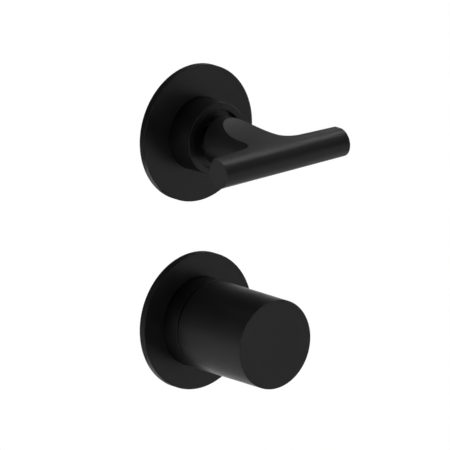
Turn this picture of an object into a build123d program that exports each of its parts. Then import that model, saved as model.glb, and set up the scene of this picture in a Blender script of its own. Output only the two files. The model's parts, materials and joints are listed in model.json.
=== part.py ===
import math
import os

from build123d import *

# Concealed shower mixer: a lever control above, a diverter knob below, one valve body in the wall.
# All sizes are in mm. X runs right, Y runs into the wall and Z runs up.
# The origin is on the finished wall, midway between the two controls.
# "Out" is the distance from the wall into the room, so y = -out. Profiles are (radius, out) pairs.

# Layout
SPACING = 100.0
LEVER_TURN = 2.6  # the lever stands this far off level in the photo, in degrees
TILT_LIMIT = 13.0  # how far the lever lifts, in degrees
EDGE_R = 0.3  # the rounding of the trim's outer edges

# Wall plates
PLATE_R = 36.0
PLATE_T = 3.9
PLATE_RIM = 3.0
PLATE_GAP = 0.2  # round the sleeve and round the collar
GASKET_T = 1.6
GASKET_LAND = 1.4  # metal left between a plate's hole and its gasket

# Upper sleeve
SLEEVE_WALL = 2.0  # over the valve chamber that it screws onto
SLEEVE_FRONT = 19.4
SLEEVE_RIM = 3.4
SLEEVE_RECESS = 2.8
SLEEVE_WEB = 2.2
SLEEVE_HOLE_R = 9.0
TAIL = 6.0  # how far the sleeve reaches in behind the wall's face
RING_W = 2.2  # seal rings in the plates' holes
RING_DEPTH = 1.0
RING_EDGE = 0.36

# Lower collar and knob
COLLAR_INSET = 0.2  # the collar is this much smaller than the knob, in radius
COLLAR_FRONT = 14.85
COLLAR_WALL = 2.0
COLLAR_WEB = 2.4
COLLAR_LIP = 1.4  # the part of the web that laps over the chamber's end
ADAPTER_T = 7.0
ADAPTER_WALL = 2.0
KNOB_R = 23.6
KNOB_GAP = 1.05
KNOB_LENGTH = 50.1
KNOB_WALL = 3.0
KNOB_FACE = 3.5

# Lever
LEVER_GAP = 3.8  # between the sleeve's front and the lever's stem
STEM_R = 13.0
NECK_R = 8.5
NECK_LENGTH = 2.6
BAR_R = 7.5
BAR_OUT = 69.7
BAR_HALF = 41.0
FLAT_DROP = 0.02  # the flats lie this far inside the bar's top and bottom lines
SPOON_START = 28.6  # where the flat runs out through the stem
SPOON_END = 51.6  # where it becomes level
WEB_HALF = 11.3
SWOOP_R = 9.0
WING_ROOT = 6.9  # the flat's back edge behind the bar's axis, beside the stem
WING_END = 4.0  # the same at the bar's ends

# Spindles and grub screws
SPINDLE_SQ = 8.0
SPINDLE_DEPTH = 24.0  # length inside the lever
LEG_R = 2.2
BALL_R = 2.6
PIN_R = 1.5
PIN_INSET = 0.9  # from the turret's side in to the pin's ends
SPINDLE_HEEL = 4.5  # how far the square reaches behind the pivot
RUNNING = 0.05
SOCKET_FIT = 0.05
GRUB_R = 2.0
GRUB_LENGTH = 6.0
PLUG_T = 2.0
PLUG_SINK = 0.4
LEVER_GRUB_OUT = 26.0
SHAFT_R = 5.0
SHAFT_FLAT = 4.0  # from the shaft's axis to its flat
SHAFT_END = 44.0
INSERT_LENGTH = 28.0
INSERT_BACK = 1.5  # behind the knob's back edge, inwards
INSERT_HUB_R = 9.0
INSERT_RIM = 2.0
INSERT_RIB = 3.0
INSERT_RIBS = 6
KNOB_GRUB_ABOVE = 10.0
KNOB_GRUB_SINK = 4.6  # from the insert's outside down to its grub screw
KNOB_BOSS_R = 5.0

# Valve body
CHAMBER_BORE_R = 13.8
CHAMBER_FRONT = 13.0
MOUTH_STEP = 1.4  # the mouth is this much wider than the bore
MOUTH_WALL = 1.8
MOUTH_DEPTH = 10.0
FLOOR_OUT = -17.0
SHOULDER_STEP = 2.0
SHOULDER_OUT = -7.5
TUBE_OUT = -30.0
TUBE_R = 12.0
TUBE_HALF = 46.0
HEX_FLAT = 14.0  # from a port's axis to the flats for the spanner
HEX_LENGTH = 17.0
HEX_CHAMFER = 1.0
BRIDGE_R = 11.0
CAST_R = 1.2  # the rounding of the chambers' back edges
PORT_R = 10.5
PORT_DEPTH = 15.0
PASSAGE_R = 5.5
PASSAGE_END = 5.5
BRIDGE_BORE_R = 5.0
DRILL_R = 3.0
DRILL_EDGE = 1.0  # ceramic left outside a water way
SIDE_ANGLE = 25.8  # the two side ways lie this far off level, in degrees
STRAP_T = 5.0
STRAP_W = 14.0
FIX_X = 48.0
FIX_Z = 44.0
FIX_HOLE_R = 2.75

# Cartridges
CAN_FIT = 0.3
CAN_WALL = 2.3
CAN_NECK_WALL = 1.2
SEAL_T = 1.0
FOOT_T = 3.5
FIXED_T = 3.5
DISC_GAP = 0.05
MOVING_T = 3.45
CARRIER_T = 6.0
TURRET_GAP = 0.5
TURRET_T = 7.0
TURRET_FIT = 0.3
NOSE_R = 9.0
NOSE_T = 2.0
LIP_T = 2.2
FLANGE_T = 2.5
NUT_T = 6.5
NUT_FIT = 0.2
DISC_FIT = 0.2  # round the fixed disc
CARRIER_ROOM = 1.8  # round the carrier, for its slide
CARRIER_LIP = 0.4
BALL_FIT = 0.1
PIVOT_ABOVE = 5.0  # pivot's distance in front of the turret's back
BALL_BELOW = 2.1  # ball's centre behind the carrier's front face

# Positions that follow from the sizes
HALF = SPACING / 2
seal_front = FLOOR_OUT + SEAL_T
foot_front = seal_front + FOOT_T
fixed_front = foot_front + FIXED_T
moving_back = fixed_front + DISC_GAP
moving_front = moving_back + MOVING_T
carrier_front = moving_front + CARRIER_T
turret_back = carrier_front + TURRET_GAP
turret_front = turret_back + TURRET_T
lip_back = turret_front + TURRET_FIT
can_front = lip_back + LIP_T
nose_front = can_front + NOSE_T
step_out = CHAMBER_FRONT - MOUTH_DEPTH
flange_front = step_out + FLANGE_T
nut_front = flange_front + NUT_T
mouth_r = CHAMBER_BORE_R + MOUTH_STEP
chamber_r = mouth_r + MOUTH_WALL
shoulder_r = chamber_r + SHOULDER_STEP
sleeve_r = chamber_r + SLEEVE_WALL
adapter_r = chamber_r + ADAPTER_WALL
can_r = CHAMBER_BORE_R - CAN_FIT
can_bore_r = can_r - CAN_WALL
can_neck_r = can_bore_r + CAN_NECK_WALL
turret_r = can_bore_r - TURRET_FIT
pin_half = turret_r - PIN_INSET
fixed_r = can_bore_r - DISC_FIT
carrier_r = can_bore_r - CARRIER_ROOM
moving_r = carrier_r - CARRIER_LIP
drill_pitch = fixed_r - DRILL_R - DRILL_EDGE
pivot_out = turret_back + PIVOT_ABOVE
ball_out = carrier_front - BALL_BELOW
arm = pivot_out - ball_out
travel = arm * math.radians(TILT_LIMIT)
disc_rest = travel / 2
stem_back = SLEEVE_FRONT + LEVER_GAP
neck_back = stem_back - NECK_LENGTH
spindle_end = stem_back + SPINDLE_DEPTH
flat = BAR_R - FLAT_DROP
knob_back = COLLAR_FRONT + KNOB_GAP
knob_front = knob_back + KNOB_LENGTH
knob_bore_r = KNOB_R - KNOB_WALL
insert_back = knob_back + INSERT_BACK
insert_front = insert_back + INSERT_LENGTH
knob_grub_out = insert_back + KNOB_GRUB_ABOVE
knob_grub_end = knob_bore_r - KNOB_GRUB_SINK
collar_r = KNOB_R - COLLAR_INSET
body_back = TUBE_OUT - HEX_FLAT


def turned(profile):
    """A turned piece about the Y axis, from (radius, out) pairs. A third number rounds that corner."""
    face = make_face(Polyline(*[(point[0], -point[1]) for point in profile], close=True))
    for point in profile:
        if len(point) == 3:
            corner = face.vertices().sort_by_distance((point[0], -point[1]))[0]
            face = fillet(corner, point[2])
    return revolve(face, axis=Axis.Y)


def tube(r_out, r_in, back, front):
    return turned([(r_in, back), (r_out, back), (r_out, front), (r_in, front)])


def rod_y(r, back, front, x=0.0, z=0.0):
    rod = Rot(90, 0, 0) * Cylinder(r, front - back)
    return Pos(x, -(back + front) / 2, z) * rod


def rod_x(r, x0, x1, out, z=0.0):
    rod = Rot(0, 90, 0) * Cylinder(r, x1 - x0)
    return Pos((x0 + x1) / 2, -out, z) * rod


def rod_z(r, z0, z1, out, x=0.0):
    return Pos(x, -out, (z0 + z1) / 2) * Cylinder(r, z1 - z0)


def bar_y(width, height, back, front, z=0.0):
    return Pos(0, -(back + front) / 2, z) * Box(width, front - back, height)


def seal_ring(r_in, r_out, back, front):
    """A seal ring with rounded edges, squeezed to fill its groove."""
    width = r_out - r_in
    shape = RectangleRounded(width, front - back, RING_EDGE)
    return revolve(Pos((r_in + r_out) / 2, -(back + front) / 2) * shape, axis=Axis.Y)


def ports(back, front, mid_side, r=DRILL_R):
    """The three water ways of a cartridge foot; mid_side is -1 with the middle one below, 1 above."""
    side_x = drill_pitch * math.cos(math.radians(SIDE_ANGLE))
    side_z = drill_pitch * math.sin(math.radians(SIDE_ANGLE))
    ways = rod_y(r, back, front, 0, mid_side * drill_pitch)
    for x in (-side_x, side_x):
        ways += rod_y(r, back, front, x, -mid_side * side_z)
    return ways


def valve_chamber():
    return turned(
        [
            (0, body_back),
            (shoulder_r, body_back, CAST_R),
            (shoulder_r, SHOULDER_OUT),
            (chamber_r, SHOULDER_OUT),
            (chamber_r, CHAMBER_FRONT),
            (0, CHAMBER_FRONT),
        ]
    )


def port_end():
    """The six-sided end of a port, with its outer edges turned off."""
    hexagon = RegularPolygon(HEX_FLAT, 6, major_radius=False, rotation=30)
    end = extrude(Plane.YZ * hexagon, HEX_LENGTH)
    rim = end.faces().sort_by(Axis.X)[-1].edges()
    return Pos(TUBE_HALF - HEX_LENGTH, -TUBE_OUT, 0) * chamfer(rim, HEX_CHAMFER)


def valve_body():
    body = rod_z(BRIDGE_R, -HALF + drill_pitch, HALF - drill_pitch, TUBE_OUT)
    for side in (1, -1):
        port_tube = rod_x(TUBE_R, -TUBE_HALF + HEX_LENGTH, TUBE_HALF - HEX_LENGTH, TUBE_OUT)
        body += Pos(0, 0, side * HALF) * (valve_chamber() + port_tube)
        right = port_end()
        body += Pos(0, 0, side * HALF) * (right + mirror(right, about=Plane.YZ))
        strap = extrude(SlotCenterToCenter(FIX_X, STRAP_W), STRAP_T)
        body += Pos(0, -body_back, side * FIX_Z / 2) * (Rot(90, 0, 0) * strap)
    for side in (1, -1):
        hollow = rod_y(CHAMBER_BORE_R, FLOOR_OUT, CHAMBER_FRONT) + rod_y(mouth_r, step_out, CHAMBER_FRONT)
        hollow += ports(TUBE_OUT, FLOOR_OUT, -side)
        for x in (-1, 1):
            ends = sorted((x * PASSAGE_END, x * TUBE_HALF))
            hollow += rod_x(PASSAGE_R, ends[0], ends[1], TUBE_OUT)
            mouth = sorted((x * (TUBE_HALF - PORT_DEPTH), x * TUBE_HALF))
            hollow += rod_x(PORT_R, mouth[0], mouth[1], TUBE_OUT)
        body -= Pos(0, 0, side * HALF) * hollow
        for x in (-FIX_X / 2, FIX_X / 2):
            body -= rod_y(FIX_HOLE_R, body_back, body_back + STRAP_T, x, side * FIX_Z / 2)
    body -= rod_z(BRIDGE_BORE_R, -HALF + drill_pitch, HALF - drill_pitch, TUBE_OUT)
    return body


def plate(hole_r):
    rim = PLATE_R - PLATE_RIM
    return turned(
        [
            (hole_r, 0),
            (hole_r + GASKET_LAND, 0),
            (hole_r + GASKET_LAND, GASKET_T),
            (rim, GASKET_T),
            (rim, 0),
            (PLATE_R, 0),
            (PLATE_R, PLATE_T, EDGE_R),
            (hole_r, PLATE_T),
        ]
    )


def gasket(hole_r):
    return tube(PLATE_R - PLATE_RIM, hole_r + GASKET_LAND, 0, GASKET_T)


def sleeve():
    web_front = SLEEVE_FRONT - SLEEVE_RECESS
    body = turned(
        [
            (chamber_r, -TAIL),
            (sleeve_r, -TAIL),
            (sleeve_r, SLEEVE_FRONT, EDGE_R),
            (sleeve_r - SLEEVE_RIM, SLEEVE_FRONT, EDGE_R),
            (sleeve_r - SLEEVE_RIM, web_front),
            (SLEEVE_HOLE_R, web_front),
            (SLEEVE_HOLE_R, web_front - SLEEVE_WEB),
            (chamber_r, web_front - SLEEVE_WEB),
        ]
    )
    return body - ring_groove(sleeve_r)


def ring_groove(r):
    mid = PLATE_T / 2
    return tube(r + RING_DEPTH, r - RING_DEPTH, mid - RING_W / 2, mid + RING_W / 2)


def plate_ring(r):
    mid = PLATE_T / 2
    return seal_ring(r - RING_DEPTH, r + PLATE_GAP, mid - RING_W / 2, mid + RING_W / 2)


def collar():
    bore = collar_r - COLLAR_WALL
    body = turned(
        [
            (adapter_r, -TAIL),
            (collar_r, -TAIL),
            (collar_r, COLLAR_FRONT, EDGE_R),
            (NOSE_R + TURRET_FIT, COLLAR_FRONT),
            (NOSE_R + TURRET_FIT, COLLAR_FRONT - COLLAR_LIP),
            (chamber_r, COLLAR_FRONT - COLLAR_LIP),
            (chamber_r, COLLAR_FRONT - COLLAR_WEB),
            (bore, COLLAR_FRONT - COLLAR_WEB),
            (bore, -TAIL + ADAPTER_T),
            (adapter_r, -TAIL + ADAPTER_T),
        ]
    )
    return body - ring_groove(collar_r)


def cartridge_can():
    return turned(
        [
            (can_bore_r, foot_front),
            (can_r, foot_front),
            (can_r, step_out),
            (mouth_r - NUT_FIT, step_out),
            (mouth_r - NUT_FIT, flange_front),
            (can_neck_r, flange_front),
            (can_neck_r, can_front),
            (NOSE_R + TURRET_FIT, can_front),
            (NOSE_R + TURRET_FIT, lip_back),
            (can_bore_r, lip_back),
        ]
    )


def cartridge_nut():
    hexagon = extrude(RegularPolygon(can_neck_r + NUT_FIT, 12), NUT_T)
    ring = tube(mouth_r, can_neck_r + NUT_FIT, flange_front, nut_front)
    key = Pos(0, -nut_front, 0) * (Rot(-90, 0, 0) * hexagon)
    return ring - key


def spindle():
    square = bar_y(SPINDLE_SQ, SPINDLE_SQ, pivot_out - SPINDLE_HEEL, spindle_end)
    leg = rod_y(LEG_R, ball_out, pivot_out)
    ball = Pos(0, -ball_out, 0) * Sphere(BALL_R)
    pin_hole = rod_x(PIN_R + RUNNING, -SPINDLE_SQ, SPINDLE_SQ, pivot_out)
    return square + leg + ball - pin_hole


def turret():
    body = turned(
        [
            (0, turret_back),
            (turret_r, turret_back),
            (turret_r, turret_front),
            (NOSE_R, turret_front),
            (NOSE_R, nose_front),
            (0, nose_front),
        ]
    )
    reach = (nose_front - pivot_out) * math.tan(math.radians(TILT_LIMIT))
    length = SPINDLE_SQ / math.cos(math.radians(TILT_LIMIT)) + 2 * (reach + TURRET_FIT)
    slot = bar_y(SPINDLE_SQ + 2 * TURRET_FIT, length, turret_back, nose_front)
    return body - slot - rod_x(PIN_R, -pin_half, pin_half, pivot_out)


def carrier():
    body = rod_y(carrier_r, moving_front, carrier_front, 0, disc_rest)
    deep = BALL_R + TURRET_FIT + BALL_BELOW
    pocket = bar_y(2 * (BALL_R + TURRET_FIT), 2 * (BALL_R + BALL_FIT), carrier_front - deep, carrier_front)
    return body - pocket


def mixer_moving_disc():
    disc = rod_y(moving_r, moving_back, moving_front, 0, disc_rest)
    pocket = rod_y(moving_r / 2, moving_back, moving_back + MOVING_T / 2, 0, disc_rest - moving_r / 4)
    return disc - pocket


def diverter_moving_disc():
    disc = rod_y(turret_r - TURRET_FIT, moving_back, moving_front)
    pocket = SlotArc(CenterArc((0, 0), drill_pitch, -20, 130), 2 * DRILL_R)
    return disc - Pos(0, -moving_back, 0) * (Rot(90, 0, 0) * extrude(pocket, MOVING_T / 2))


def diverter_spindle():
    body = turned(
        [
            (0, moving_front),
            (turret_r - TURRET_FIT, moving_front),
            (turret_r - TURRET_FIT, turret_back),
            (turret_r, turret_back),
            (turret_r, turret_front),
            (NOSE_R, turret_front),
            (NOSE_R, nose_front),
            (SHAFT_R, nose_front),
            (SHAFT_R, SHAFT_END),
            (0, SHAFT_END),
        ]
    )
    drop = 2 * SHAFT_R
    return body - bar_y(drop, drop, insert_back, SHAFT_END, -SHAFT_FLAT - drop / 2)


def spoon_cut():
    """What is taken off the stem's top: level over the web, then a hollow that runs out towards the wall."""
    rise = STEM_R - flat
    run = SPOON_END - SPOON_START
    radius = (run**2 + rise**2) / (2 * rise)
    top = rise + 1
    far = math.sqrt(radius**2 - (radius - top) ** 2)
    half_far = far / 2
    half_rise = radius - math.sqrt(radius**2 - half_far**2)
    start = (-SPOON_END, flat)
    middle = (-SPOON_END + half_far, flat + half_rise)
    end = (-SPOON_END + far, flat + top)
    front = -BAR_OUT - 1
    sides = Polyline(end, (front, flat + top), (front, flat), start)
    face = make_face(ThreePointArc(start, middle, end) + sides)
    return extrude(Plane.YZ * face, STEM_R + 1, both=True)


def lever_web():
    """The flat between stem and bar, seen from above: two swoops that reach the bar's ends."""
    chord = math.sqrt(STEM_R**2 - flat**2) - PLATE_GAP
    slope = (WING_ROOT - WING_END) / (BAR_HALF - WEB_HALF)
    corner = (WEB_HALF, -(BAR_OUT - WING_END - slope * (BAR_HALF - WEB_HALF)))
    right = [(chord, -SPOON_END), corner, (BAR_HALF, -(BAR_OUT - WING_END)), (BAR_HALF, -BAR_OUT)]
    left = [(-x, y) for x, y in reversed(right)]
    face = make_face(Polyline(*right, *left, close=True))
    inner = [v for v in face.vertices() if abs(abs(v.X) - WEB_HALF) < 0.01]
    return extrude(fillet(inner, SWOOP_R), flat, both=True)


def lever_handle():
    stem = turned(
        [
            (0, neck_back),
            (NECK_R, neck_back),
            (NECK_R, stem_back),
            (STEM_R, stem_back, EDGE_R),
            (STEM_R, BAR_OUT),
            (0, BAR_OUT),
        ]
    )
    cut = spoon_cut()
    stem -= cut
    stem -= mirror(cut, about=Plane.XY)
    handle = stem + lever_web() + rod_x(BAR_R, -BAR_HALF, BAR_HALF, BAR_OUT)
    for end in (handle.faces().sort_by(Axis.X)[0], handle.faces().sort_by(Axis.X)[-1]):
        handle = fillet(end.edges(), EDGE_R)
    side = SPINDLE_SQ + 2 * SOCKET_FIT
    handle -= bar_y(side, side, neck_back, spindle_end + SOCKET_FIT)
    return handle - rod_z(GRUB_R, -STEM_R - 1, -side / 2 + 1, LEVER_GRUB_OUT)


def lever_grub():
    top = -SPINDLE_SQ / 2
    screw = rod_z(GRUB_R, top - GRUB_LENGTH, top, LEVER_GRUB_OUT)
    key = extrude(RegularPolygon(GRUB_R / 2, 6), GRUB_LENGTH / 2)
    return screw - Pos(0, -LEVER_GRUB_OUT, top - GRUB_LENGTH) * key


def lever_plug():
    low = -math.sqrt(STEM_R**2 - GRUB_R**2) + PLUG_SINK
    return rod_z(GRUB_R, low, low + PLUG_T, LEVER_GRUB_OUT)


def knob():
    body = turned(
        [
            (knob_bore_r, knob_back),
            (KNOB_R, knob_back, EDGE_R),
            (KNOB_R, knob_front, EDGE_R),
            (0, knob_front),
            (0, knob_front - KNOB_FACE),
            (knob_bore_r, knob_front - KNOB_FACE),
        ]
    )
    return body - rod_z(GRUB_R, -KNOB_R - 1, -knob_bore_r + 1, knob_grub_out)


def knob_insert():
    body = tube(INSERT_HUB_R, 0, insert_back, insert_front)
    body += tube(knob_bore_r, knob_bore_r - INSERT_RIM, insert_back, insert_front)
    for i in range(INSERT_RIBS):
        rib = Pos(0, 0, -knob_bore_r / 2) * bar_y(INSERT_RIB, knob_bore_r - INSERT_RIM, insert_back, insert_front)
        body += Rot(0, i * 360 / INSERT_RIBS, 0) * rib
    body += rod_z(KNOB_BOSS_R, -knob_bore_r + INSERT_RIM / 2, -SHAFT_R, knob_grub_out)
    shaft = rod_y(SHAFT_R, insert_back, SHAFT_END)
    shaft -= bar_y(2 * SHAFT_R, 2 * SHAFT_R, insert_back, SHAFT_END, -SHAFT_FLAT - SHAFT_R)
    body -= shaft
    return body - rod_z(GRUB_R, -KNOB_R, -SHAFT_FLAT + 1, knob_grub_out)


def knob_grub():
    screw = rod_z(GRUB_R, -knob_grub_end, -SHAFT_FLAT, knob_grub_out)
    key = extrude(RegularPolygon(GRUB_R / 2, 6), GRUB_LENGTH / 2)
    return screw - Pos(0, -knob_grub_out, -knob_grub_end) * key


def knob_plug():
    low = -math.sqrt(KNOB_R**2 - GRUB_R**2) + PLUG_SINK
    return rod_z(GRUB_R, low, low + PLUG_T, knob_grub_out)


def foot(mid_side):
    return rod_y(can_r, seal_front, foot_front) - ports(seal_front, foot_front, mid_side)


def foot_seal(mid_side):
    return rod_y(can_r, FLOOR_OUT, seal_front) - ports(FLOOR_OUT, seal_front, mid_side)


def fixed_disc(mid_side):
    return rod_y(fixed_r, foot_front, fixed_front) - ports(foot_front, fixed_front, mid_side)


upper = Pos(0, 0, HALF)
lower = Pos(0, 0, -HALF)
lever = upper * Rot(0, -LEVER_TURN, 0)

parts = {
    "valve_body": valve_body(),
    "mixer_plate": upper * plate(sleeve_r + PLATE_GAP),
    "mixer_plate_gasket": upper * gasket(sleeve_r + PLATE_GAP),
    "mixer_sleeve": upper * sleeve(),
    "mixer_sleeve_ring": upper * plate_ring(sleeve_r),
    "mixer_foot_seal": upper * foot_seal(-1),
    "mixer_foot": upper * foot(-1),
    "mixer_fixed_disc": upper * fixed_disc(-1),
    "mixer_can": upper * cartridge_can(),
    "mixer_nut": upper * cartridge_nut(),
    "mixer_turret": lever * turret(),
    "mixer_pivot_pin": lever * rod_x(PIN_R, -pin_half, pin_half, pivot_out),
    "mixer_carrier": lever * carrier(),
    "mixer_moving_disc": lever * mixer_moving_disc(),
    "lever_spindle": lever * spindle(),
    "lever_handle": lever * lever_handle(),
    "lever_grub_screw": lever * lever_grub(),
    "lever_screw_plug": lever * lever_plug(),
    "diverter_plate": lower * plate(collar_r + PLATE_GAP),
    "diverter_plate_gasket": lower * gasket(collar_r + PLATE_GAP),
    "diverter_collar": lower * collar(),
    "diverter_collar_ring": lower * plate_ring(collar_r),
    "diverter_adapter": lower * tube(adapter_r, chamber_r, -TAIL, -TAIL + ADAPTER_T),
    "diverter_foot_seal": lower * foot_seal(1),
    "diverter_foot": lower * foot(1),
    "diverter_fixed_disc": lower * fixed_disc(1),
    "diverter_can": lower * cartridge_can(),
    "diverter_nut": lower * cartridge_nut(),
    "diverter_moving_disc": lower * diverter_moving_disc(),
    "diverter_spindle": lower * diverter_spindle(),
    "knob_insert": lower * knob_insert(),
    "diverter_knob": lower * knob(),
    "knob_grub_screw": lower * knob_grub(),
    "knob_screw_plug": lower * knob_plug(),
}

os.makedirs("parts", exist_ok=True)
for name, shape in parts.items():
    export_step(shape, f"parts/{name}.step")
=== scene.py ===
import json
from math import cos, pi, radians, sin, tan

import bpy
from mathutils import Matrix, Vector


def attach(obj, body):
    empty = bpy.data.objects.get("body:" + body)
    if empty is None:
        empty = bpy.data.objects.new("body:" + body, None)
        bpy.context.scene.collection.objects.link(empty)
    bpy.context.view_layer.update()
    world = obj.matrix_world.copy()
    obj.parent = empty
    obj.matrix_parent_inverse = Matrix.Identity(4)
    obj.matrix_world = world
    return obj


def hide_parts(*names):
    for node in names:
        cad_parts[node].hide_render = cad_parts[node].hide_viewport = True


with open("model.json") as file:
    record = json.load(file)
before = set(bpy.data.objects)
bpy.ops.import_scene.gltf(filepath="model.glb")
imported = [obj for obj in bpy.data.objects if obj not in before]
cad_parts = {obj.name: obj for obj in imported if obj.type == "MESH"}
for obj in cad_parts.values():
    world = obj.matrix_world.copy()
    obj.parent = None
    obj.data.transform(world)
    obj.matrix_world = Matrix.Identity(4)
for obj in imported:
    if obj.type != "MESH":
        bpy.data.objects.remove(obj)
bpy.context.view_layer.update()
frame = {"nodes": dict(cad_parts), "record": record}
nodes = frame["nodes"]
mm = 0.001
print("frame loaded with", len(nodes), "nodes")

# Where most of a noise lies, and a wave texture's scale times its period
patternSet = {"noiseLow": 0.35, "noiseHigh": 0.65, "waveBand": 0.314}


def linear(hexColour):  # sRGB hex to the linear colour that a shader takes
    channels = [int(hexColour[i:i + 2], 16) / 255 for i in (1, 3, 5)]
    return [c / 12.92 if c <= 0.04045 else ((c + 0.055) / 1.055) ** 2.4 for c in channels] + [1]


def perMm(size):  # texture scale that gives features of this size in mm
    return 1 / (size * mm)


def addNode(tree, kind, sockets=None, **fields):  # a node, its fields, and a link or value for each socket
    node = tree.nodes.new("ShaderNode" + kind)
    for field, value in fields.items():
        setattr(node, field, value)
    for socket, value in (sockets or {}).items():
        if isinstance(value, bpy.types.NodeSocket):
            tree.links.new(value, node.inputs[socket])
        else:
            node.inputs[socket].default_value = value
    return node


def newMaterial(name):  # a material and its empty tree
    material = bpy.data.materials.new(name)
    material.use_nodes = True
    material.node_tree.nodes.clear()
    return material, material.node_tree


def surface(name, colours, rough, grain, patch, depth, strength=0.3, bump=None, **shader):
    # colour and roughness drift over patches, and a fine grain stands in the bump
    # grain, patch and depth are in mm
    material, tree = newMaterial(name)
    place = addNode(tree, "TexCoord").outputs["Object"]
    drift = addNode(tree, "TexNoise", {"Vector": place, "Scale": perMm(patch), "Detail": 3}).outputs["Fac"]
    fine = addNode(tree, "TexNoise", {"Vector": place, "Scale": perMm(grain), "Detail": 2}).outputs["Fac"]
    if bump:
        fine = bump(tree, place, fine)
    spread = addNode(tree, "MapRange", {
        "Value": drift, "From Min": patternSet["noiseLow"], "From Max": patternSet["noiseHigh"],
    }).outputs["Result"]
    roughness = addNode(tree, "MapRange", {"Value": spread, "To Min": rough[0], "To Max": rough[1]})
    tint = addNode(tree, "Mix", {0: spread, 6: linear(colours[0]), 7: linear(colours[1])}, data_type="RGBA")
    relief = addNode(tree, "Bump", {"Height": fine, "Strength": strength, "Distance": depth * mm})
    gloss = addNode(tree, "BsdfPrincipled", {
        "Base Color": tint.outputs[2],
        "Roughness": roughness.outputs["Result"],
        "Normal": relief.outputs["Normal"],
        **shader,
    })
    addNode(tree, "OutputMaterial", {"Surface": gloss.outputs["BSDF"]})
    return material


def toolLines(pitch, axis="Y"):  # rings left by a lathe tool, coarser than real so that they show
    def height(tree, place, fine):
        scale = patternSet["waveBand"] * perMm(pitch)
        rings = addNode(tree, "TexWave", {"Vector": place, "Scale": scale}, bands_direction=axis)
        return addNode(tree, "Math", {0: rings.outputs["Fac"], 1: fine}, operation="ADD").outputs["Value"]
    return height


def partingLine(level, width, high):  # the line where the halves of the mould met, so many grains high
    def height(tree, place, fine):
        depth = addNode(tree, "SeparateXYZ", {0: place}).outputs["Y"]
        off = addNode(tree, "Math", {0: depth, 1: level * mm}, operation="SUBTRACT").outputs["Value"]
        off = addNode(tree, "Math", {0: off}, operation="ABSOLUTE").outputs["Value"]
        line = addNode(tree, "MapRange", {
            "Value": off, "From Min": 0, "From Max": width / 2 * mm, "To Min": high, "To Max": 0,
        }, interpolation_type="SMOOTHSTEP").outputs["Result"]
        return addNode(tree, "Math", {0: line, 1: fine}, operation="ADD").outputs["Value"]
    return height


def cells(size):  # closed cells of a foam
    def height(tree, place, fine):
        bubbles = addNode(tree, "TexVoronoi", {"Vector": place, "Scale": perMm(size)}).outputs["Distance"]
        return addNode(tree, "Math", {0: bubbles, 1: fine}, operation="ADD").outputs["Value"]
    return height


# Matt black lacquer baked onto polished brass: an even satin black with a very fine grain
mattBlack = surface(
    "baked_matt_black_lacquer", ("#0b0b0b", "#0f0f0f"), rough=(0.37, 0.43),
    grain=0.5, patch=14, depth=0.02, strength=0.1, **{"Specular IOR Level": 0.2},
)
# Sand-cast brass: dull yellow and a little stained, with the mould's parting line
# and the sand's grain, which is drawn coarser than real so that it shows
castBrass = surface(
    "sand_cast_brass", ("#a5864c", "#bd9d60"), rough=(0.40, 0.52), grain=1.1, patch=16, depth=0.5,
    strength=0.6, bump=partingLine(level=30, width=1.2, high=2.5), Metallic=1,
)
# Turned brass: bright, with the tool's rings
turnedBrass = surface(
    "turned_brass", ("#c9a352", "#d8b768"), rough=(0.2, 0.3), grain=0.3, patch=6, depth=0.01,
    bump=toolLines(0.3), Metallic=1,
)
# Tapped brass: the ports' faces and threads, cut along X and a little duller than turned brass
tappedBrass = surface(
    "tapped_brass", ("#c09a4c", "#cfae62"), rough=(0.34, 0.42), grain=0.3, patch=6, depth=0.01,
    strength=0.2, bump=toolLines(0.3, "X"), Metallic=1,
)
# Turned stainless steel: grey, with the tool's rings
turnedSteel = surface(
    "turned_stainless_steel", ("#a5a7a9", "#b9bbbd"), rough=(0.24, 0.34), grain=0.3, patch=5, depth=0.01,
    bump=toolLines(0.25), Metallic=1,
)
# Black-oxide steel: the lever's spindle, a dark finish that is also chosen dark so that it stands in for the
# shade in the sleeve's mouth
darkSteelForShade = surface(
    "black_oxide_steel", ("#141414", "#1c1c1d"), rough=(0.4, 0.5), grain=0.3, patch=5, depth=0.01, Metallic=1,
)
# Moulded EPDM rubber: black and dull
sealRubber = surface(
    "moulded_epdm_rubber", ("#121212", "#191919"), rough=(0.5, 0.62), grain=0.3, patch=5, depth=0.02,
)
# Closed-cell EVA foam: dark grey with small cells
gasketFoam = surface(
    "closed_cell_eva_foam", ("#2a2a2b", "#363637"), rough=(0.75, 0.9), grain=0.3, patch=6, depth=0.15,
    strength=0.7, bump=cells(0.6),
)
# Moulded acetal: milky white and a little waxy
mouldedAcetal = surface(
    "moulded_acetal", ("#d2d1cb", "#dddcd6"), rough=(0.32, 0.42), grain=0.5, patch=8, depth=0.02,
)
# Glass-filled nylon: dark grey and speckled
filledNylon = surface(
    "glass_filled_nylon", ("#242526", "#2f3031"), rough=(0.42, 0.55), grain=0.4, patch=3, depth=0.03,
    strength=0.4,
)
# Moulded polypropylene: the screw plugs, a satin black that matches the lacquer
plugPolypropylene = surface(
    "moulded_black_polypropylene", ("#0c0c0c", "#121212"), rough=(0.4, 0.5), grain=0.4, patch=4, depth=0.02,
    **{"Specular IOR Level": 0.3},
)
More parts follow.
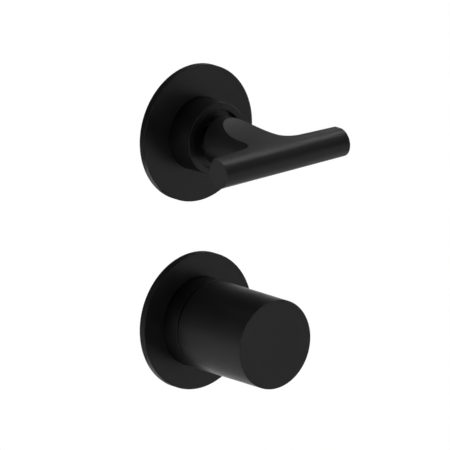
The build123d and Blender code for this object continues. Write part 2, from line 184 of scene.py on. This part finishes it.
# Lapped alumina: white and glossy
lappedAlumina = surface(
    "lapped_alumina", ("#e6e2d8", "#efece4"), rough=(0.14, 0.2), grain=0.3, patch=4, depth=0.005,
    strength=0.2,
)
finishes = {
    "matt_black": mattBlack, "cast_brass": castBrass, "machined_brass": turnedBrass, "steel": turnedSteel,
    "seal_rubber": sealRubber, "foam_gasket": gasketFoam, "cartridge_plastic": mouldedAcetal,
    "turret_plastic": filledNylon, "plug_plastic": plugPolypropylene, "disc_ceramic": lappedAlumina,
}
for part in frame["record"]["subparts"]:
    mesh = nodes[part["node"]].data
    mesh.materials.clear()
    mesh.materials.append(finishes[part["material_slot"]])
# the spindle's dark finish is partly a real black oxide and partly painted shade in the sleeve's mouth
nodes["lever_spindle"].data.materials[0] = darkSteelForShade
print("finishes on all CAD nodes")

# Valve body: the CAD shape as a casting, with soft fillets, and its four ports faced, bored and tapped
castSizes = {  # mm, but for the rounds and share of smoothing, and the shading's angle in degrees
    "merge": 0.005, "spare": 3, "slack": 0.1, "voxel": 1.0, "rounds": 6, "share": 0.5, "angle": 25,
}
portSizes = {  # mm from the port's axis, and along it from the middle of the body
    "out": 30, "heights": (50, -50), "face": 46, "depth": 15, "bore": 10.45, "mouth": 1.0,
    "rim": 13.2, "corner": 2.0, "cornerAngle": 30, "past": 2, "sides": 96,
}


def select(obj):  # this object alone, and active
    bpy.ops.object.select_all(action="DESELECT")
    obj.select_set(True)
    bpy.context.view_layer.objects.active = obj


def edit(obj):  # edit mode, with the whole mesh selected
    select(obj)
    bpy.ops.object.mode_set(mode="EDIT")
    bpy.ops.mesh.select_all(action="SELECT")


def pick(obj, wanted):  # in edit mode, the points at a wanted place
    bpy.ops.mesh.select_mode(type="VERT")
    bpy.ops.mesh.select_all(action="DESELECT")
    bpy.ops.object.mode_set(mode="OBJECT")
    for corner in obj.data.vertices:
        corner.select = wanted(corner.co)
    bpy.ops.object.mode_set(mode="EDIT")


def turnOutwards():  # in edit mode, all faces to the outside, and back to object mode
    bpy.ops.mesh.select_all(action="SELECT")
    bpy.ops.mesh.normals_make_consistent(inside=False)
    bpy.ops.object.mode_set(mode="OBJECT")


def apply(obj, kind, **settings):  # add a modifier and apply it
    select(obj)
    modifier = obj.modifiers.new(kind.lower(), kind)
    for name, value in settings.items():
        setattr(modifier, name, value)
    bpy.ops.object.modifier_apply(modifier=modifier.name)


def atPort(obj, name, side, height):  # a copy with its own mesh, moved from the X axis to a port
    copy = bpy.data.objects.new(name, obj.data.copy())
    bpy.context.scene.collection.objects.link(copy)
    edit(copy)
    if side < 0:  # half a turn, so that the hand of a thread stays
        bpy.ops.transform.rotate(value=pi, orient_axis="Z", center_override=(0, 0, 0))
    bpy.ops.transform.translate(value=(0, portSizes["out"] * mm, height * mm))
    bpy.ops.object.mode_set(mode="OBJECT")
    return copy


select(nodes["valve_body"])
bpy.ops.object.duplicate()
castBody = bpy.context.object
castBody.name = "cast_valve_body"
castBody.data.materials.clear()
castBody.data.materials.append(castBrass)
castBody.data.materials.append(tappedBrass)
edit(castBody)
bpy.ops.mesh.remove_doubles(threshold=castSizes["merge"] * mm)
face = portSizes["face"]
portEnd = face - castSizes["voxel"] - castSizes["slack"]
for side in (-1, 1):  # spare length at the ports, which facing takes off again
    pick(castBody, lambda place: place.x * side > portEnd * mm)
    bpy.ops.transform.translate(value=(side * castSizes["spare"] * mm, 0, 0))
bpy.ops.object.mode_set(mode="OBJECT")
apply(castBody, "REMESH", mode="VOXEL", voxel_size=castSizes["voxel"] * mm)
apply(castBody, "SMOOTH", factor=castSizes["share"], iterations=castSizes["rounds"])

# One cutter bores a port, faces it and turns off the corners of its hexagon, and its copies do the others
bore, rim, corner = portSizes["bore"], portSizes["rim"], portSizes["corner"]
wide = rim + corner / tan(radians(portSizes["cornerAngle"]))
profile = (  # along the axis, and out from it
    (face - portSizes["mouth"], bore), (face, bore + portSizes["mouth"]), (face, rim),
    (face - corner, wide), (face + castSizes["spare"] + portSizes["past"], wide),
)
along, radius = face - portSizes["depth"], bore
bpy.ops.object.select_all(action="DESELECT")
bpy.ops.mesh.primitive_circle_add(
    vertices=portSizes["sides"], radius=radius * mm, fill_type="NGON",
    location=(along * mm, 0, 0), rotation=(0, pi / 2, 0),
)
cutter = bpy.context.object
bpy.ops.object.transform_apply()
edit(cutter)
for x, r in profile:
    bpy.ops.mesh.extrude_region_move(TRANSFORM_OT_translate={"value": ((x - along) * mm, 0, 0)})
    bpy.ops.transform.resize(value=(1, r / radius, r / radius), center_override=(x * mm, 0, 0))
    along, radius = x, r
turnOutwards()
cutter.data.materials.append(tappedBrass)
ports = [(side, height) for height in portSizes["heights"] for side in (1, -1)]
for side, height in ports:
    tool = atPort(cutter, "port_cutter", side, height)
    apply(castBody, "BOOLEAN", object=tool, operation="DIFFERENCE", solver="EXACT", material_mode="TRANSFER")
    bpy.data.objects.remove(tool)
bpy.data.objects.remove(cutter)
select(castBody)
bpy.ops.object.shade_smooth_by_angle(angle=radians(castSizes["angle"]))
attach(castBody, "body")
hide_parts("valve_body")
print("cast body with", len(castBody.data.polygons), "faces")

# Pipe thread in each port: a six-sided ridge wound against the bore, easing in and out over half a turn
threadSizes = {  # mm, but for the counts and the shading's angle in degrees
    "pitch": 1.814, "crest": 9.35, "land": 0.2, "root": 10.5, "start": 44.6, "slack": 0.1,
    "turns": 7, "steps": 60, "angle": 40,
    "foot": 0.46,  # half of the ridge's foot, as a share of the pitch
    "sunk": 0.2, "ends": 0.02,  # of the ridge's height, what is in the wall, and what is left at the ends
}
pitch, root, crest = threadSizes["pitch"], threadSizes["root"], threadSizes["crest"]
foot = threadSizes["foot"] * pitch
slack = threadSizes["slack"]
ridgeMiddle = (threadSizes["start"] * mm, 0, root * mm)
bpy.ops.object.select_all(action="DESELECT")
bpy.ops.mesh.primitive_circle_add(vertices=6, radius=mm, location=ridgeMiddle, rotation=(pi / 2, pi / 6, 0))
coil = bpy.context.object
bpy.ops.object.transform_apply()
edit(coil)
bpy.ops.transform.resize(value=(foot, 1, (root - crest) / sin(pi / 3)), center_override=ridgeMiddle)
pick(coil, lambda place: place.z < (root - slack) * mm)  # the crest
bpy.ops.transform.resize(value=(threadSizes["land"] / foot, 1, 1), center_override=ridgeMiddle)
pick(coil, lambda place: place.z > (root + slack) * mm)  # the side in the wall
bpy.ops.transform.resize(value=(1, 1, threadSizes["sunk"]), center_override=ridgeMiddle)
bpy.ops.object.mode_set(mode="OBJECT")
ringPoints = len(coil.data.vertices)
apply(coil, "SCREW", axis="X", steps=threadSizes["steps"], render_steps=threadSizes["steps"],
      iterations=threadSizes["turns"], screw_offset=-pitch * mm)
lastRing = len(coil.data.vertices) // ringPoints - 1
halfTurn = threadSizes["steps"] / 2
for point in coil.data.vertices:
    ring = point.index // ringPoints
    ease = max(min(1, ring / halfTurn, (lastRing - ring) / halfTurn), threadSizes["ends"])
    reach = Vector((0, point.co.y, point.co.z)).length
    wanted = root * mm + (reach - root * mm) * ease
    point.co.y *= wanted / reach
    point.co.z *= wanted / reach
edit(coil)
bpy.ops.mesh.fill_holes(sides=0)
turnOutwards()
bpy.ops.object.shade_smooth_by_angle(angle=radians(threadSizes["angle"]))
coil.data.materials.append(tappedBrass)
for number, (side, height) in enumerate(ports):
    thread = atPort(coil, "port_thread_%d" % (number + 1), side, height)
    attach(thread, "body")
bpy.data.objects.remove(coil)
print("four ports tapped")

# Stage: the white wall that the fitting hangs on, and a pale floor
stageSizes = {"wallY": 0.3 * mm, "wallSide": 6, "floorZ": -0.2, "floorSide": 8}
wallPlace, floorPlace = (0, stageSizes["wallY"], 0), (0, 0, stageSizes["floorZ"])
bpy.ops.object.select_all(action="DESELECT")
bpy.ops.mesh.primitive_plane_add(size=stageSizes["wallSide"], location=wallPlace, rotation=(pi / 2, 0, 0))
wall = bpy.context.object
wall.name = "studio_wall"
bpy.ops.object.transform_apply()
bpy.ops.mesh.primitive_plane_add(size=stageSizes["floorSide"], location=floorPlace)
floor = bpy.context.object
floor.name = "studio_floor"
bpy.ops.object.transform_apply()
wall.visible_shadow = False  # lamps stand on both sides of the wall
floor.visible_shadow = False
floor.visible_diffuse = False
floor.visible_glossy = False


def showFront(tree, front):  # a stage surface that is clear from its back
    behind = addNode(tree, "NewGeometry").outputs["Backfacing"]
    clear = addNode(tree, "BsdfTransparent")
    mix = addNode(tree, "MixShader", {0: behind, 1: front.outputs[0], 2: clear.outputs[0]})
    addNode(tree, "OutputMaterial", {"Surface": mix.outputs[0]})


# Wall: plain white to the camera. To every other ray it glows as painted light: a painted shadow of the
# fitting, dim round it and brighter far off, and three painted light spots, beside the knob and at the lower
# left of both plates, which put light edges on them
wallPaintedShadeAndLight = (  # the light near a middle and far from it, which add up
    {"near": 0.05, "far": 0.5, "from": 30 * mm, "to": 140 * mm, "middle": (0, 0, 30 * mm)},
    {"near": 1.7, "far": 0, "from": 10 * mm, "to": 68 * mm, "middle": (46 * mm, 0, -66 * mm)},
    {"near": 0.78, "far": 0, "from": 5 * mm, "to": 16 * mm, "middle": (-34 * mm, 0, 27 * mm)},
    {"near": 0.45, "far": 0, "from": 3 * mm, "to": 13 * mm, "middle": (-32 * mm, 0, -76 * mm)},
)
glowingWallMaterial, wallTree = newMaterial("white_wall_with_painted_light")
place = addNode(wallTree, "TexCoord").outputs["Object"]
light = 0
for glow in wallPaintedShadeAndLight:
    away = addNode(wallTree, "VectorMath", {0: place, 1: glow["middle"]}, operation="DISTANCE")
    fade = addNode(wallTree, "MapRange", {
        "Value": away.outputs["Value"], "From Min": glow["from"], "From Max": glow["to"],
        "To Min": glow["near"], "To Max": glow["far"],
    }, interpolation_type="SMOOTHSTEP").outputs["Result"]
    light = addNode(wallTree, "Math", {0: light, 1: fade}, operation="ADD").outputs["Value"]
# painted light and painted shadow, seen by every ray but the camera's, so it lights the object in diffuse
# light as well as in gloss
paintedWallLight = addNode(wallTree, "Emission", {"Strength": light})
plain = addNode(wallTree, "Emission", {"Strength": 1})
toCamera = addNode(wallTree, "LightPath").outputs["Is Camera Ray"]
showFront(wallTree, addNode(wallTree, "MixShader", {0: toCamera, 1: paintedWallLight.outputs[0], 2: plain.outputs[0]}))
wall.data.materials.append(glowingWallMaterial)

# Pale floor: half of its white is its own, the rest is the lamps' light and keeps the shadow
floorSet = {"glow": 0.55, "colour": "#e6e6e4"}
floorPaint, floorTree = newMaterial("pale_floor_paint")
ownLight = addNode(floorTree, "Emission", {"Strength": floorSet["glow"]})
matt = addNode(floorTree, "BsdfDiffuse", {"Color": linear(floorSet["colour"])})
showFront(floorTree, addNode(floorTree, "AddShader", {0: ownLight.outputs[0], 1: matt.outputs[0]}))
floor.data.materials.append(floorPaint)
print("stage ready")

# Lamps: round soft boxes about the object, each with its direction, its light and its spread in degrees
lamps = {
    "front": ((0, -1, 0), 0.98, 32), "leftBelow": ((-0.69, -0.5, -0.53), 1.33, 32),
    "rightFront": ((0.59, -0.81, 0), 0.115, 32), "frontRight": ((0.62, -0.74, -0.26), 0.14, 24),
    "rightBelow": ((0.72, -0.53, -0.45), 0.19, 32), "rightFrontAbove": ((0.69, -0.5, 0.53), 0.22, 32),
    "below": ((0.43, -0.31, -0.85), 0.46, 32), "keyAbove": ((0.53, 0, 0.85), 0.8, 32),
    "right": ((0.95, 0.2, 0.25), 1.25, 32), "rightLow": ((0.9, 0, -0.45), 0.25, 32),
    "rightBackAbove": ((0.69, 0.5, 0.53), 0.05, 32), "highlight": ((0.62, 0.26, 0.74), 0.025, 20),
    "left": ((-0.95, 0.31, 0), 0.32, 32), "backLeft": ((-0.62, 0.74, -0.26), 0.065, 24),
    "backBelow": ((0.26, 0.81, -0.53), 0.093, 32), "backLeftBelow": ((-0.28, 0.85, -0.45), 0.12, 32),
}
lampDistance = 2.0
for name, (direction, strength, spread) in lamps.items():
    box = bpy.data.lights.new(name, "AREA")
    box.shape = "DISK"
    box.size = 2 * lampDistance * tan(radians(spread / 2))
    box.energy = strength * pi * lampDistance ** 2
    box.cycles.use_multiple_importance_sampling = False  # only aimed rays reach a lamp behind the wall
    lamp = bpy.data.objects.new(name, box)
    lamp.location = Vector(direction).normalized() * lampDistance
    lamp.rotation_euler = Vector(direction).to_track_quat("Z", "Y").to_euler()
    lamp.visible_camera = False
    bpy.context.scene.collection.objects.link(lamp)

# Room: white to the camera. Its light is dim before the wall, and bright behind it, more so above
roomLight = {"front": 0.06, "edge": 0.2, "backLow": 0.4, "lowAt": -0.6, "backHigh": 1.2, "highAt": 0.8}
world = bpy.data.worlds.new("studio")
bpy.context.scene.world = world
world.use_nodes = True
roomTree = world.node_tree
roomTree.nodes.clear()
heading = addNode(roomTree, "TexCoord").outputs["Generated"]
towards = addNode(roomTree, "SeparateXYZ", {0: heading})
backLight = addNode(roomTree, "MapRange", {
    "Value": towards.outputs["Z"], "From Min": roomLight["lowAt"], "From Max": roomLight["highAt"],
    "To Min": roomLight["backLow"], "To Max": roomLight["backHigh"],
}).outputs["Result"]
level = addNode(roomTree, "MapRange", {
    "Value": towards.outputs["Y"], "From Min": 0, "From Max": roomLight["edge"],
    "To Min": roomLight["front"], "To Max": backLight,
}).outputs["Result"]
room = addNode(roomTree, "Background", {"Color": (1, 1, 1, 1), "Strength": level})
white = addNode(roomTree, "Background", {"Color": (1, 1, 1, 1), "Strength": 1})
toCamera = addNode(roomTree, "LightPath").outputs["Is Camera Ray"]
seen = addNode(roomTree, "MixShader", {0: toCamera, 1: room.outputs[0], 2: white.outputs[0]})
addNode(roomTree, "OutputWorld", {"Surface": seen.outputs[0]})
print("lamps ready")

# Camera: the photo has no perspective
cameraSet = {
    "azimuth": -39.57, "elevation": 14.78, "distance": 1.0,
    "aim": (20.99 * mm, 0, -3.25 * mm), "width": 231.66 * mm,
}
lens = bpy.data.cameras.new("camera")
lens.type = "ORTHO"
lens.ortho_scale = cameraSet["width"]
camera = bpy.data.objects.new("camera", lens)
turn, rise = radians(cameraSet["azimuth"]), radians(cameraSet["elevation"])
back = Vector((sin(turn) * cos(rise), -cos(turn) * cos(rise), sin(rise)))
camera.location = Vector(cameraSet["aim"]) + back * cameraSet["distance"]
camera.rotation_euler = back.to_track_quat("Z", "Y").to_euler()
bpy.context.scene.collection.objects.link(camera)
bpy.context.scene.camera = camera
bpy.context.scene.view_settings.view_transform = "Standard"
print("camera ready")
